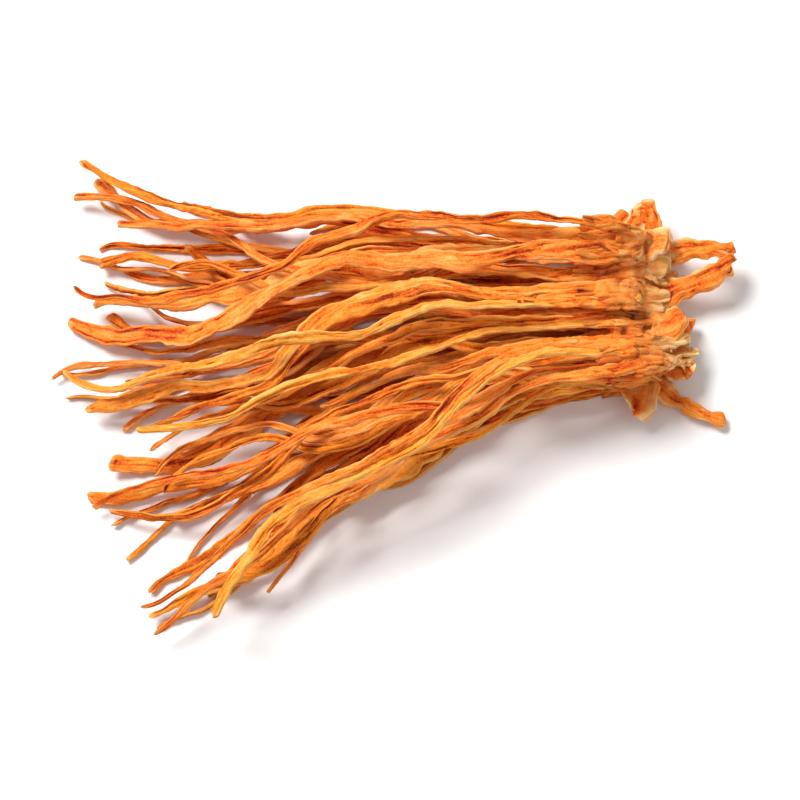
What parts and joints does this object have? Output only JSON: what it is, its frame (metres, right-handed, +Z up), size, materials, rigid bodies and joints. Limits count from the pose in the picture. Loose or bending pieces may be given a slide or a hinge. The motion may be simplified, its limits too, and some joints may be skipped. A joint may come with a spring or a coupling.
{
  "type": "dried cordyceps",
  "caption": "Tuft of dried cordyceps lying down: slender shrivelled orange stems, some forked, that fan out from one torn pale base with curled lobes.",
  "frame": {"origin": "middle of the base's flat underside, on the surface that the tuft lies on", "axes": "-X from the base along the stems to their tips, +Z up"},
  "size_m": [0.1741, 0.1238, 0.0304],
  "materials": {
    "base_flesh": "dried fungus flesh, pale cream and tan with brown crusts, matt and wrinkled",
    "stem_flesh": "dried fungus flesh, orange, matt, with fine lengthwise wrinkles"
  },
  "bodies": {
    "root": {"base": "base_flesh", "stem_01": "stem_flesh", "stem_02": "stem_flesh", "stem_03": "stem_flesh", "stem_04": "stem_flesh", "stem_05": "stem_flesh", "stem_06": "stem_flesh", "stem_07": "stem_flesh", "stem_08": "stem_flesh", "stem_09": "stem_flesh", "stem_10": "stem_flesh", "stem_11": "stem_flesh", "stem_12": "stem_flesh", "stem_13": "stem_flesh", "stem_14": "stem_flesh", "stem_15": "stem_flesh", "stem_16": "stem_flesh", "stem_17": "stem_flesh", "stem_18": "stem_flesh", "stem_19": "stem_flesh", "stem_20": "stem_flesh", "stem_21": "stem_flesh", "stem_22": "stem_flesh", "stem_23": "stem_flesh", "stem_24": "stem_flesh", "stem_25": "stem_flesh", "stem_26": "stem_flesh", "stem_27": "stem_flesh", "stem_28": "stem_flesh", "stem_29": "stem_flesh", "stem_30": "stem_flesh", "stem_31": "stem_flesh", "stem_32": "stem_flesh", "stem_33": "stem_flesh", "stem_34": "stem_flesh", "stem_35": "stem_flesh", "stem_36": "stem_flesh", "stem_37": "stem_flesh", "stem_38": "stem_flesh", "stem_39": "stem_flesh", "stem_40": "stem_flesh", "stem_41": "stem_flesh", "stem_42": "stem_flesh", "stem_43": "stem_flesh", "stem_44": "stem_flesh", "stem_45": "stem_flesh", "stem_46": "stem_flesh", "stem_47": "stem_flesh", "stem_48": "stem_flesh"}
  },
  "joints": []
}
